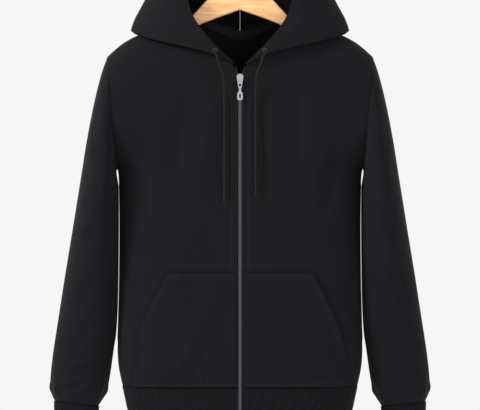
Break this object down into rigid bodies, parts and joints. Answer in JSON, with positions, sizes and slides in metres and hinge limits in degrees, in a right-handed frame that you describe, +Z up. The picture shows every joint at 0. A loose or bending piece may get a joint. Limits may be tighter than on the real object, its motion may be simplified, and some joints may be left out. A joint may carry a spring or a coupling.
{
  "type": "zip up hoodie on a hanger",
  "caption": "Black fleece zip up hoodie with a raised hood, drawstrings, pouch pockets and ribbed hem and cuffs, held open on a wooden hanger by its wire hook.",
  "frame": {"origin": "the inside top of the hanger's hook, where a peg or rail holds it", "axes": "+Z up, the front of the hoodie faces -Y, and +X is the wearer's left"},
  "size_m": [0.6436, 0.1715, 0.9011],
  "materials": {
    "fleece": "brushed cotton fleece, matte",
    "rib": "rib knit, matte",
    "tape": "woven tape",
    "cord": "braided cotton cord",
    "zip_metal": "die cast, plated",
    "dark_metal": "black lacquer",
    "beech": "clear varnish",
    "hook_steel": "polished wire"
  },
  "bodies": {
    "garment": {"front_left": "fleece", "front_right": "fleece", "back": "fleece", "sleeve_left": "fleece", "sleeve_right": "fleece", "cuff_left": "rib", "cuff_right": "rib", "hem_rib": "rib", "hood_left": "fleece", "hood_right": "fleece", "neck_tape": "tape", "pocket_left": "fleece", "pocket_right": "fleece", "zip_left": "tape", "zip_right": "tape", "zip_box": "zip_metal", "zip_slider": "zip_metal", "eyelet_left": "dark_metal", "eyelet_right": "dark_metal", "drawstring_left": "cord", "drawstring_right": "cord", "hanger": "beech", "hanger_hook": "hook_steel"},
    "pull_tab": {"pull_tab": "zip_metal"}
  },
  "joints": [
    {"name": "tab_swing", "type": "hinge", "parent": "garment", "child": "pull_tab", "pos_m": [0, -0.06427, -0.2276], "axis": [1, 0, 0], "range_deg": [-138, 0]}
  ]
}
